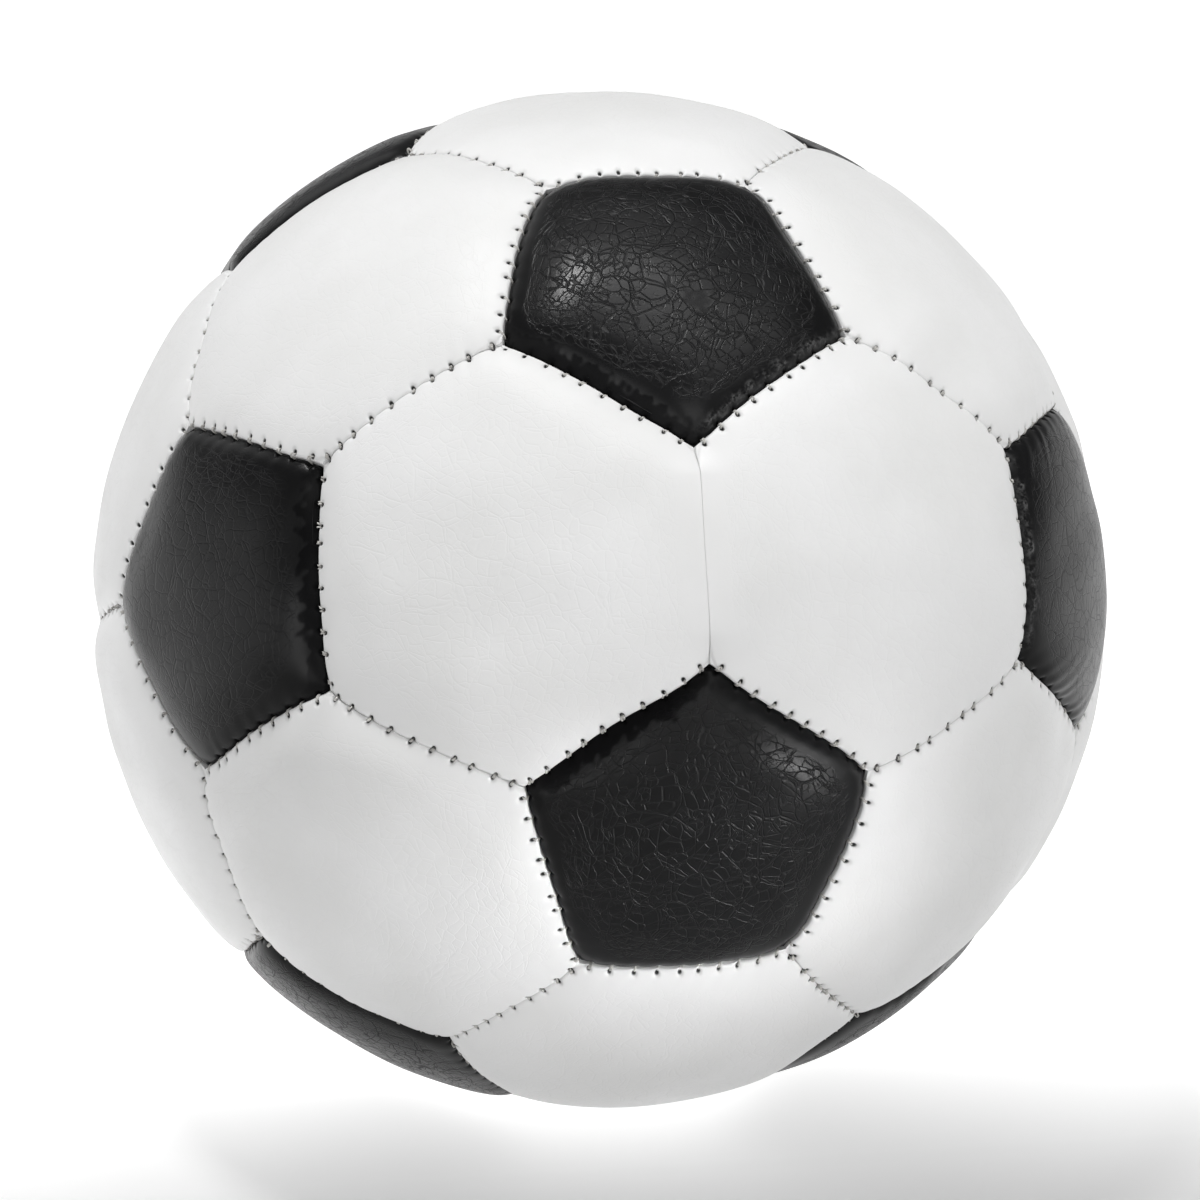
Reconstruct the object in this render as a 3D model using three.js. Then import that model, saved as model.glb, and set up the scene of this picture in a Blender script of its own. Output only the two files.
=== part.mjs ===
// Medicine ball: a padded leather cover of 12 pentagon and 20 hexagon panels, sewn edge to edge and
// drawn tight over a canvas lining. The lining is packed with fibre around a pouch of sand.
//
// Millimetres, +Z up, origin at the ball's centre. A hexagon faces straight up and another straight
// down, which is the one that it rests on. The front is -Y, and the YZ plane is a mirror plane.
import * as THREE from 'three';

// ---- Driving dimensions ----
const BALL_DIAMETER = 220;
const COVER_THICKNESS = 4.5; // leather with its foam backing
const PANEL_GAP = 0.4; // between the turned edges of two neighbouring panels
const ROLL_WIDTH = 7; // where a panel's face starts to curve down to the seam
const SHOULDER_WIDTH = 2.2; // where that curve turns steeply into the groove
const SHOULDER_DROP = 0.9;
const GROOVE_DEPTH = 3; // from the ball's surface to where the turned edges meet
const ALLOWANCE_DEPTH = 5.5; // how far the seam allowance reaches in
const ALLOWANCE_THICKNESS = 1.8;
const THREAD_WIDTH = 0.8;
const THREAD_TOP_DEPTH = 1.6; // the thread lies in the groove, between these two depths
const THREAD_BOTTOM_DEPTH = 2.4;
const CLOTH_THICKNESS = 1.2; // lining, patch and pouch
const LINING_RADIUS = 102.3;
const PATCH_GAP = 0.3;
const FILLING_GAP = 0.5;
const FILLING_SPLIT = 0.15; // half the gap between the filling's two halves
const POUCH_RADIUS = 30;
const POUCH_ROOM = 1.2;
const SAND_GAP = 0.5;
const NECK_RADIUS = 5;
const NECK_HEIGHT = [35, 38]; // the cinched stretch of the pouch's neck
const NECK_TOP = { radius: 10, height: 46 };
const NECK_ROOM = 2; // between the neck's flared top and the filling
const TIE_RADIUS = 1.2;

// ---- Fineness of the solids ----
const SEAM_STEPS = 3; // straight stretches along one seam
const TURNS = 24; // facets around a turned piece
const POLAR_STEP = 15; // degrees between a turned piece's rings, the same on nested pieces
const MOUTH_ANGLE = POLAR_STEP; // the lining's filling mouth, from the vertical
const PATCH_ANGLE = 2 * POLAR_STEP;
const TIE_SIDES = 8;

const BALL_RADIUS = BALL_DIAMETER / 2;
const { degToRad } = THREE.MathUtils;

const material = (color, roughness) => new THREE.MeshStandardMaterial({ color, roughness, metalness: 0 });
const BLACK_LEATHER = material(0x1c1c1d, 0.42);
const WHITE_LEATHER = material(0xdededc, 0.4);
const WAXED_THREAD = material(0xe4e2dc, 0.6);
const CANVAS = material(0xb8a988, 0.9);
const FIBRE = material(0x9a948a, 0.95);
const SAND = material(0xc2a878, 0.95);
const CORD = material(0x6d5a3c, 0.8);

const model = new THREE.Group();

function addMesh(name, geometry, meshMaterial) {
  const mesh = new THREE.Mesh(geometry, meshMaterial);
  mesh.name = name;
  model.add(mesh);
}

// ---- The cover's layout: a truncated icosahedron on the unit sphere ----

// Twelve pentagon centres, in four rings of three. Each ring is turned 60 degrees from the one before.
function pentagonCentres() {
  const upper = Math.asin(Math.sqrt((5 + 2 * Math.sqrt(5)) / 15));
  const middle = Math.asin(Math.sqrt((5 - 2 * Math.sqrt(5)) / 15));
  const rings = [[upper, 0], [middle, 60], [-middle, 0], [-upper, 60]];
  return rings.flatMap(([elevation, turn]) => [0, 120, 240].map((step) => {
    const azimuth = degToRad(turn + step);
    const level = Math.cos(elevation);
    return new THREE.Vector3(level * Math.sin(azimuth), -level * Math.cos(azimuth), Math.sin(elevation));
  }));
}

// Two pentagon centres are neighbours when a seam between two hexagons joins their pentagons.
const areNeighbours = (p, q) => p !== q && p.dot(q) > 0.4;

// The corner of pentagon p that points at pentagon q: a third of the way from p to q.
const cornerTowards = (p, q) => p.clone().multiplyScalar(2).add(q).normalize();

const isSameCorner = (a, b) => a.distanceTo(b) < 1e-6;

// Points on the sphere, sorted anticlockwise around a centre as seen from outside.
function sortAround(centre, points) {
  const right = points[0].clone().cross(centre).normalize();
  const up = centre.clone().cross(right);
  const turn = (point) => Math.atan2(point.dot(up), point.dot(right));
  return [...points].sort((a, b) => turn(a) - turn(b));
}

// A panel's corners and, for any distance in from its seams, the outline that it has there.
function makePanel(centre, corners) {
  const sorted = sortAround(centre, corners);
  const flatCentre = centre.clone().multiplyScalar(centre.dot(sorted[0]));
  const sideMiddle = sorted[0].clone().add(sorted[1]).normalize();
  const sideAngle = centre.angleTo(sideMiddle);

  // Directions around the panel, at a fraction of the way from its centre to its seams.
  const outlineAt = (fraction) => sorted.flatMap((corner, i) => {
    const next = sorted[(i + 1) % sorted.length];
    return Array.from({ length: SEAM_STEPS }, (_, step) => {
      const onSeam = corner.clone().lerp(next, step / SEAM_STEPS);
      return onSeam.sub(flatCentre).multiplyScalar(fraction).add(flatCentre).normalize();
    });
  });
  const fractionAt = (distance) => Math.tan(sideAngle - distance / BALL_RADIUS) / Math.tan(sideAngle);
  return { centre, corners: sorted, outlineAt, inset: (distance) => outlineAt(fractionAt(distance)) };
}

function layOutPanels() {
  const centres = pentagonCentres();
  const pentagons = centres.map((p) => {
    const around = centres.filter((q) => areNeighbours(p, q));
    return makePanel(p, around.map((q) => cornerTowards(p, q)));
  });
  const hexagons = [];
  for (const [i, p] of centres.entries()) {
    for (const [j, q] of centres.entries()) {
      for (const s of centres.slice(j + 1)) {
        if (i >= j || !areNeighbours(p, q) || !areNeighbours(q, s) || !areNeighbours(p, s)) continue;
        const pairs = [[p, q], [q, p], [q, s], [s, q], [s, p], [p, s]];
        const centre = p.clone().add(q).add(s).normalize();
        hexagons.push(makePanel(centre, pairs.map(([from, to]) => cornerTowards(from, to))));
      }
    }
  }
  hexagons.sort((a, b) => b.centre.z - a.centre.z);
  return { pentagons, hexagons };
}

// ---- Mesh helpers ----

function geometryFrom(triangles) {
  const geometry = new THREE.BufferGeometry();
  geometry.setAttribute('position', new THREE.Float32BufferAttribute(triangles.flatMap((p) => p.toArray()), 3));
  geometry.computeVertexNormals();
  return geometry;
}

const atRadius = (directions, radius) => directions.map((d) => d.clone().multiplyScalar(radius));

// The band between two rings of equal length. It faces out where the second ring is the wider one.
function band(inner, outer) {
  return inner.flatMap((point, i) => {
    const next = (i + 1) % inner.length;
    return [point, outer[i], outer[next], point, outer[next], inner[next]];
  });
}

const fan = (centre, ring) => ring.flatMap((point, i) => [centre, point, ring[(i + 1) % ring.length]]);

// ---- Cover panels ----

// A panel is a shallow dish: a crowned face that rolls down to the seam, a seam allowance turned in
// along every side, and the foam backing's inner face.
function panelGeometry(panel) {
  const edge = PANEL_GAP / 2;
  const turnedIn = edge + ALLOWANCE_THICKNESS;
  const backRadius = BALL_RADIUS - COVER_THICKNESS;
  const halfway = panel.outlineAt(0.5);
  const rings = [
    atRadius(halfway, BALL_RADIUS),
    atRadius(panel.inset(ROLL_WIDTH), BALL_RADIUS),
    atRadius(panel.inset(SHOULDER_WIDTH), BALL_RADIUS - SHOULDER_DROP),
    atRadius(panel.inset(edge), BALL_RADIUS - GROOVE_DEPTH),
    atRadius(panel.inset(edge), BALL_RADIUS - ALLOWANCE_DEPTH),
    atRadius(panel.inset(turnedIn), BALL_RADIUS - ALLOWANCE_DEPTH),
    atRadius(panel.inset(turnedIn), backRadius),
    atRadius(halfway, backRadius),
  ];
  const faceCentre = panel.centre.clone().multiplyScalar(BALL_RADIUS);
  const backCentre = panel.centre.clone().multiplyScalar(backRadius);
  const bands = rings.slice(1).flatMap((ring, i) => band(rings[i], ring));
  const back = fan(backCentre, rings.at(-1).toReversed());
  return geometryFrom([...fan(faceCentre, rings[0]), ...bands, ...back]);
}

// ---- Seam thread: one net that runs along every seam, in the groove between the panels ----

function seamThreadGeometry(panels) {
  const triangles = [];
  const top = BALL_RADIUS - THREAD_TOP_DEPTH;
  const bottom = BALL_RADIUS - THREAD_BOTTOM_DEPTH;
  const outlines = panels.map((panel) => panel.inset(THREAD_WIDTH / 2));

  // A flat on the outer or inner face of the net, given anticlockwise from outside.
  const addBothFaces = (directions) => {
    const outer = atRadius(directions, top);
    const inner = atRadius(directions, bottom).reverse();
    for (const face of [outer, inner]) {
      for (let i = 1; i + 1 < face.length; i += 1) triangles.push(face[0], face[i], face[i + 1]);
    }
  };
  const outlinePoint = (panelIndex, step) => {
    const outline = outlines[panelIndex];
    return outline[(step + outline.length) % outline.length];
  };

  for (const [i, panel] of panels.entries()) {
    triangles.push(...band(atRadius(outlines[i], bottom), atRadius(outlines[i], top)));
    for (const [side, corner] of panel.corners.entries()) {
      const nextCorner = panel.corners[(side + 1) % panel.corners.length];
      for (let j = i + 1; j < panels.length; j += 1) {
        const facing = panels[j].corners.findIndex((other) => isSameCorner(other, nextCorner));
        const closing = panels[j].corners.findIndex((other) => isSameCorner(other, corner));
        if (facing < 0 || closing < 0) continue;
        for (let step = 0; step < SEAM_STEPS; step += 1) {
          const here = side * SEAM_STEPS + step;
          const there = (facing + 1) * SEAM_STEPS - step;
          addBothFaces([
            outlinePoint(i, here + 1),
            outlinePoint(i, here),
            outlinePoint(j, there),
            outlinePoint(j, there - 1),
          ]);
        }
      }
    }
  }

  // Three panels meet at each corner, and exactly one of them is a pentagon.
  const cornersOfPentagons = panels.filter((panel) => panel.corners.length === 5).flatMap((panel) => panel.corners);
  for (const corner of cornersOfPentagons) {
    const meeting = panels.flatMap((panel, i) => {
      const at = panel.corners.findIndex((other) => isSameCorner(other, corner));
      return at < 0 ? [] : [outlinePoint(i, at * SEAM_STEPS)];
    });
    addBothFaces(sortAround(corner, meeting));
  }
  return geometryFrom(triangles);
}

// ---- Turned pieces inside the cover ----

// Profile points on a circle about the ball's centre. Angles are measured down from the vertical.
function arc(radius, from, to) {
  const steps = Math.max(1, Math.round(Math.abs(to - from) / POLAR_STEP));
  return Array.from({ length: steps + 1 }, (_, i) => {
    const angle = degToRad(from + ((to - from) * i) / steps);
    return new THREE.Vector2(radius * Math.sin(angle), radius * Math.cos(angle));
  });
}

const point = (radius, height) => new THREE.Vector2(radius, height);

const turned = (profile) => new THREE.LatheGeometry(profile, TURNS).rotateX(Math.PI / 2);

function addLining() {
  const inner = LINING_RADIUS - CLOTH_THICKNESS;
  const bag = [...arc(LINING_RADIUS, 180, MOUTH_ANGLE), ...arc(inner, MOUTH_ANGLE, 180)];
  addMesh('lining_bag', turned(bag), CANVAS);

  const patchInner = LINING_RADIUS + PATCH_GAP;
  const patch = [...arc(patchInner, 0, PATCH_ANGLE), ...arc(patchInner + CLOTH_THICKNESS, PATCH_ANGLE, 0)];
  addMesh('mouth_patch', turned(patch), CANVAS);
}

function addFilling() {
  const radius = LINING_RADIUS - CLOTH_THICKNESS - FILLING_GAP;
  const recess = POUCH_RADIUS + POUCH_ROOM;
  const bore = NECK_TOP.radius + NECK_ROOM;
  const boreAngle = THREE.MathUtils.radToDeg(Math.asin(bore / recess));
  const level = (points, height) => points.map((p) => point(p.x, Math.abs(p.y) < height ? height : p.y));
  const upper = [
    point(0, NECK_TOP.height + NECK_ROOM),
    point(bore, NECK_TOP.height + NECK_ROOM),
    ...level(arc(recess, boreAngle, 90), FILLING_SPLIT),
    ...level(arc(radius, 90, 0), FILLING_SPLIT),
  ];
  addMesh('filling_upper', turned(upper), FIBRE);

  const lower = [...arc(radius, 180, 90), ...arc(recess, 90, 180)];
  const sunk = lower.map((p) => point(p.x, Math.min(p.y, -FILLING_SPLIT)));
  addMesh('filling_lower', turned(sunk), FIBRE);
}

function addSandPouch() {
  const inner = POUCH_RADIUS - CLOTH_THICKNESS;
  const [neckLow, neckHigh] = NECK_HEIGHT;
  const pouch = [
    ...arc(POUCH_RADIUS, 180, POLAR_STEP),
    point(NECK_RADIUS, neckLow),
    point(NECK_RADIUS, neckHigh),
    point(NECK_TOP.radius, NECK_TOP.height),
    point(NECK_TOP.radius - CLOTH_THICKNESS, NECK_TOP.height),
    point(NECK_RADIUS - CLOTH_THICKNESS, neckHigh),
    point(NECK_RADIUS - CLOTH_THICKNESS, neckLow),
    ...arc(inner, POLAR_STEP, 180),
  ];
  addMesh('sand_pouch', turned(pouch), CANVAS);

  const sand = arc(inner - SAND_GAP, 180, POLAR_STEP);
  addMesh('sand', turned([...sand, point(0, sand.at(-1).y)]), SAND);

  const tieCentre = point(NECK_RADIUS + SAND_GAP + TIE_RADIUS, (neckLow + neckHigh) / 2);
  const tie = Array.from({ length: TIE_SIDES + 1 }, (_, i) => {
    const angle = (2 * Math.PI * (i % TIE_SIDES)) / TIE_SIDES;
    return point(tieCentre.x + TIE_RADIUS * Math.cos(angle), tieCentre.y + TIE_RADIUS * Math.sin(angle));
  });
  addMesh('pouch_tie', turned(tie), CORD);
}

// ---- The whole ball ----

const numbered = (stem, i) => `${stem}_${String(i + 1).padStart(2, '0')}`;
const { pentagons, hexagons } = layOutPanels();
pentagons.forEach((panel, i) => addMesh(numbered('black_pentagon', i), panelGeometry(panel), BLACK_LEATHER));
hexagons.forEach((panel, i) => addMesh(numbered('white_hexagon', i), panelGeometry(panel), WHITE_LEATHER));
addMesh('seam_thread', seamThreadGeometry([...pentagons, ...hexagons]), WAXED_THREAD);
addLining();
addFilling();
addSandPouch();

export default model;
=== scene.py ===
# Looks of the medicine ball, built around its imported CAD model.
# The cover is remade as 32 finely meshed leather panels with rolled edges, puckered seams, needle
# holes and stitches. Everything is in metres in the CAD frame: origin at the ball's centre, +Z up.
import math

import bpy
import numpy as np
from mathutils import Matrix, Vector


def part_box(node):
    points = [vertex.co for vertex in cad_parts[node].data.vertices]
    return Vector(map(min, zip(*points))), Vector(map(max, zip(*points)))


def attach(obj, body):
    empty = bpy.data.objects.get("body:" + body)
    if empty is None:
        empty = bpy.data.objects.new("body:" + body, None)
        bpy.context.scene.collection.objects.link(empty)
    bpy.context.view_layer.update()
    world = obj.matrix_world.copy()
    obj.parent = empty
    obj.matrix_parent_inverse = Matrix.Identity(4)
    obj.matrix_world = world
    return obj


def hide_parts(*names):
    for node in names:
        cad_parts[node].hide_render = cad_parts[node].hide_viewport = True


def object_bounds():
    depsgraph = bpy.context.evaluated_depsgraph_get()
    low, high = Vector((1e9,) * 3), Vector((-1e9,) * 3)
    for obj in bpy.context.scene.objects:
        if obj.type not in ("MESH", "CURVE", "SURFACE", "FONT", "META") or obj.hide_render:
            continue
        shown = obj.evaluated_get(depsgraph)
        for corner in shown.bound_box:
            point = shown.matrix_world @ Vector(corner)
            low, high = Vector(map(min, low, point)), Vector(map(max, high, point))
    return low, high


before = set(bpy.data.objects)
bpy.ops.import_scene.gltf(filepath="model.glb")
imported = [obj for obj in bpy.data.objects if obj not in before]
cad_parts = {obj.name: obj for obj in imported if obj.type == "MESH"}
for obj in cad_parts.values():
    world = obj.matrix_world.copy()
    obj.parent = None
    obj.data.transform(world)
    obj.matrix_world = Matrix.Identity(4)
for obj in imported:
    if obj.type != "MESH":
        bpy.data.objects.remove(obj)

cad_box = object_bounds()

MM = 0.001
BODY = "root"
BALL_RADIUS = (cad_box[1][2] - cad_box[0][2]) / 2

# ---- Camera ----
CAMERA_AZIMUTH = -11.24  # degrees, from straight in front towards +X
CAMERA_ELEVATION = 15.96
CAMERA_ROLL = 1.13
CAMERA_DISTANCE = 8.098  # times the ball's radius
CAMERA_LENS = 122.7  # millimetres, on a sensor 36 wide

# ---- Cover dimensions ----
KNEE = 6.8 * MM  # the foam backing ends here, and the leather slopes from it down to the seam
KNEE_RANGE = (0.85, 1.35)  # of that, on different seams
KNEE_SOFTNESS = 1.9 * MM
KNEE_ROUNDING = 3.2 * MM
KNEE_WANDER = 0.9 * MM
BORDER_SLOPE = 0.21
PULL_REACH = 1.6 * MM  # the thread pulls the leather down over this distance from a seam
TIGHT_REACH = 2.7 * MM  # and over this distance from a tight one
TIGHT_DEPTH = 1.5  # times the depth of an ordinary seam
PULL_DEPTH = {"black": 1.1 * MM, "white": 0.25 * MM}
BLIND_DEPTH = 0.12  # times the depth of an ordinary seam
BLIND_END = 7 * MM  # a blind seam opens out over this length at its ends
LIP_RADIUS = 0.7 * MM  # the turned edge of the leather
LIP_DEPTH = {"black": 0.8 * MM, "white": 0.45 * MM}
CORNER_ROUNDING = 1.0 * MM
CORNER_REACH = 3.6 * MM  # a seam's end strays from the pattern over this distance
CORNER_STRAY = (-0.6 * MM, 0.9 * MM)  # away from the black panel, and into it
EDGE_GAP = 0.015 * MM  # from a panel's edge to the middle of its seam
ALLOWANCE_DEPTH = 5.4 * MM
ALLOWANCE_THICKNESS = 1.4 * MM
BACK_DEPTH = 4.0 * MM

# ---- Stitching ----
STITCHES = 10  # along one seam
STITCH_JITTER = 0.14  # of the distance between stitches
STITCH_SLANT = 0.35
SEAM_END = 4.5 * MM  # the puckers fade out over this length at a seam's ends
THREAD_RADIUS = 0.17 * MM
SLACK = (0.3 * MM, 0.55 * MM)  # how far a loose thread stands out
SNUG = (-0.5 * MM, -0.15 * MM)  # a thread that has sunk into the seam
HOLE_WIDTH = 0.32 * MM
HOLE_LENGTH = 0.46 * MM
HOLE_DEPTH = 0.9 * MM
HOLE_ZONE = 4 * MM  # no hole reaches further than this from a seam
HOLE_DISTANCE = {"black": 0.35 * MM, "white": 0.9 * MM}  # from a seam between a black and a white panel
EVEN_HOLE_DISTANCE = 0.4 * MM  # from the seam between two white panels
PUCKER_HEIGHT = {"black": 0.075 * MM, "white": 0.08 * MM}
PUCKER_REACH = 3.4 * MM
SCALLOP = 0.1 * MM
SCALLOP_REACH = 1.2 * MM
TIGHT_PUCKERS = (2.5, 0.6)  # their height and reach, times the ordinary ones
LONG_PUCKERS = (4, 1.8)
LONG_SLANT = 2.2

# ---- How particular seams, panels and corners came out, by their number in the set-out ----
SLACK_SEAMS = (22, 45, 46, 53, 54, 56, 62, 70, 83)  # the thread lies loose on top
TIGHT_SEAMS = (0, 45, 54, 66, 79)  # the black leather is pulled deep into the seam
ROLLED_SEAMS = (1, 30, 36, 71)  # the black leather stands up in a worn ridge beside the seam
PUCKERED_SEAMS = (29, 31, 61, 77)  # drawn into long slanted puckers
SMOOTH_PANELS = (3, 5, 8)  # the black panels that have creased least
SMOOTH_CREASING = 0.4
# Corners of black panels, and how far inside the pattern they lie (or outside it, if less than 0).
BLUNT_CORNERS = {1: 3.2 * MM, 34: 3.2 * MM, 2: 1.8 * MM, 30: 1.1 * MM, 8: 2.5 * MM, 50: 2.8 * MM}
DRAWN_CORNERS = {25: -1.4 * MM, 26: -1.6 * MM, 31: -0.8 * MM, 40: -1.2 * MM}
RIDGE_HEIGHT = 0.24 * MM
RIDGE_WIDTH = 0.9 * MM
RIDGE_DISTANCE = 2.0 * MM

# ---- Creases ----
CREASE_START = (-5 * MM, -2.4 * MM)  # they fade in from here to here, measured inwards from the knee
STRETCH = 30 * MM  # of the crease pattern is squeezed in beside a seam, so that it runs along the seam
STRETCH_REACH = 8 * MM
CREASE_LAYERS = (  # the size of their cells, half their width, the share of the leather, their depth
    (7 * MM, 0.26 * MM, 0.85, 1.0),
    (2.9 * MM, 0.2 * MM, 1.0, 0.85),
    (1.4 * MM, 0.13 * MM, 0.5, 0.4),
)

# ---- Unevenness ----
UNEVENNESS = 0.22 * MM
SEAM_WANDER = 0.35 * MM
SHAPE_SEED = 3

# ---- Inside ----
CLOTH = 1.2 * MM
MOUTH_ANGLE = 15  # degrees from the vertical to the rim of the lining's mouth
GORES = 8
FELL = (3.6 * MM, 4.2 * MM)  # a flat seam between gores fades out between these distances from its middle
FELL_STITCHING = 3 * MM
HEM = (3.4, 3.8)  # degrees in from the patch's edge, where its hem fades out
HEM_STITCHING = 2.4
HEM_STITCHES = 60
FILLING_RADIUS = 100.6 * MM
FILLING_SPLIT = 0.15 * MM
RECESS_RADIUS = 31.2 * MM
BORE_RADIUS = 12 * MM
BORE_TOP = 48 * MM
POUCH_RADIUS = 30 * MM
SHOULDER_ANGLE = 15
NECK_RADIUS = 5 * MM
NECK_HEIGHT = (35 * MM, 38 * MM)
NECK_TOP = (10 * MM, 46 * MM)  # its radius and height
PLEATS = 16
PLEAT_DEPTH = 0.2  # of the distance from the axis
PLEAT_START = (22 * MM, 34 * MM)  # they deepen between these heights
SAND_RADIUS = 28.3 * MM
SAND_ANGLE = 15
TIE_RADIUS = 6.7 * MM
TIE_TWISTS = 22
STRAND_RADIUS = 0.6 * MM

# ---- Light ----
FLOOR_GLOW_REACH = (-0.15, 0.05)  # from in front of the ball to below it and behind it
FAR_GLOW_REACH = (0.5, 1.4)  # away from the ball, on every side
WALL_FADE = (0.06, 0.32)  # the sine of the elevation
WALL_GLOW = (1.0, 0.1)

# ---- Mesh fineness ----
ROWS = 120  # from a panel's centre to its edge, and columns along each side
EDGE_CROWDING = 1.8  # the rows lie e to this power times closer at the edge than at the centre
STITCH_CROWDING = 0.5  # how much closer the columns lie at a stitch


def smooth_step(low, high, value):
    share = np.clip((value - low) / (high - low), 0, 1)
    return share * share * (3 - 2 * share)


def unit(vector):
    return vector / np.linalg.norm(vector, axis=-1, keepdims=True)


class Ripple:
    """A smooth random height over space: a sum of waves in random directions."""

    def __init__(self, height, shortest, longest, seed, waves=10):
        random = np.random.default_rng(seed)
        heading = unit(random.normal(size=(waves, 3)))
        length = random.uniform(shortest, longest, (waves, 1))
        self.turns = (heading * 2 * math.pi / length).T
        self.starts = random.uniform(0, 2 * math.pi, waves)
        self.height = height * math.sqrt(2 / waves)

    def at(self, points):
        return self.height * np.sin(points @ self.turns + self.starts).sum(-1)


# ---- The panel pattern ----

def pentagon_centres():
    """Twelve directions in four rings of three, as in the CAD model."""
    upper = math.asin(math.sqrt((5 + 2 * math.sqrt(5)) / 15))
    middle = math.asin(math.sqrt((5 - 2 * math.sqrt(5)) / 15))
    centres = []
    for elevation, turn in ((upper, 0), (middle, 60), (-middle, 0), (-upper, 60)):
        for step in (0, 120, 240):
            azimuth = math.radians(turn + step)
            level = math.cos(elevation)
            centres.append((level * math.sin(azimuth), -level * math.cos(azimuth), math.sin(elevation)))
    return np.array(centres)


def sorted_around(centre, points):
    """Points on the sphere, anticlockwise around a centre as seen from outside."""
    points = np.array(points)
    right = unit(np.cross(points[0], centre))
    up = np.cross(centre, right)
    return points[np.argsort(np.arctan2(points @ up, points @ right))]


class Seam:
    """One seam: its place on the unit sphere and how its stitches lie.

    Its sides are told apart by the vector across, which points from its plane into its first panel.
    That is the black panel, where a black and a white one meet.
    """

    def __init__(self, first, last, inside, colours, index):
        self.corners = (first, last)
        self.colours = colours
        self.middle = unit(first + last)
        self.along = unit(last - first)
        self.across = np.cross(self.middle, self.along)
        if self.across @ inside < 0:
            self.across = -self.across
        self.half = BALL_RADIUS * math.acos(first @ last) / 2
        self.pitch = 2 * self.half / STITCHES
        random = np.random.default_rng([SHAPE_SEED, index])
        jitter = random.uniform(-STITCH_JITTER, STITCH_JITTER, STITCHES)
        self.stitches = -self.half + self.pitch * (np.arange(STITCHES) + 0.5 + jitter)
        self.tension = random.uniform(0.3, 1.3)
        self.heights = self.tension * random.uniform(0.4, 1.5, STITCHES + 1)
        self.reaches = random.uniform(0.5, 1.6, STITCHES + 1)
        self.knee = KNEE * random.uniform(*KNEE_RANGE)
        self.slant = STITCH_SLANT
        self.depth, self.pull_reach = 1.0, PULL_REACH
        self.slack = random.uniform(*(SLACK if index in SLACK_SEAMS else SNUG))
        self.ridge = RIDGE_HEIGHT if index in ROLLED_SEAMS else 0.0
        self.is_blind = False  # closed from inside, with nothing to see but a shallow valley
        if index in TIGHT_SEAMS:
            self.depth, self.pull_reach = TIGHT_DEPTH, TIGHT_REACH
            self.heights *= TIGHT_PUCKERS[0]
            self.reaches *= TIGHT_PUCKERS[1]
        if index in PUCKERED_SEAMS:
            self.slant *= LONG_SLANT
            self.heights *= LONG_PUCKERS[0]
            self.reaches *= LONG_PUCKERS[1]

    def joins(self, a, b):
        first, last = self.corners
        same = np.allclose(a, first) and np.allclose(b, last)
        return same or (np.allclose(a, last) and np.allclose(b, first))

    def place(self, directions):
        """Distances along the seam from its middle, and away from it, into its first panel."""
        along = BALL_RADIUS * np.arctan2(directions @ self.along, directions @ self.middle)
        away = BALL_RADIUS * np.arcsin(np.clip(directions @ self.across, -1, 1))
        return along, away

    def direction(self, along, away):
        """The direction at these distances along and away from the seam."""
        turn, lift = np.asarray(along) / BALL_RADIUS, np.asarray(away) / BALL_RADIUS
        level = np.cos(turn)[..., None] * self.middle + np.sin(turn)[..., None] * self.along
        return np.cos(lift)[..., None] * level + np.sin(lift)[..., None] * self.across

    def phase(self, along):
        """Counts the stitches: 0 at the first, 1 at the second, and fractions between."""
        before, after = self.stitches[0] - self.pitch, self.stitches[-1] + self.pitch
        knots = np.concatenate(([before], self.stitches, [after]))
        return np.interp(along, knots, np.arange(-1, STITCHES + 1))

    def openness(self, along):
        """1 where the seam is an ordinary groove, more where it is deeper, and less where it is shut."""
        if not self.is_blind:
            return np.full_like(along, self.depth)
        opening = smooth_step(self.half - BLIND_END, self.half, np.abs(along))
        return BLIND_DEPTH + (1 - BLIND_DEPTH) * opening

    def hole_distance(self, colour):
        return HOLE_DISTANCE[colour] if self.colours[0] == "black" else EVEN_HOLE_DISTANCE


def border_depth(colour, inset, knee, openness, pull_reach):
    """How far the leather lies below the ball's surface at this distance in from its seam.

    From the knee it slopes down to the seam. The thread pulls it further down, and its edge turns in.
    """
    slope = BORDER_SLOPE * KNEE_SOFTNESS * np.logaddexp(0, (knee - inset) / KNEE_SOFTNESS)
    pull = PULL_DEPTH[colour] * np.exp(-((inset / pull_reach) ** 1.5))
    turned = np.clip(1 - inset / LIP_RADIUS, 0, 1)
    lip = LIP_DEPTH[colour] * (1 - np.sqrt(1 - turned * turned))
    return (slope + pull) * openness + lip * openness**2


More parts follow.
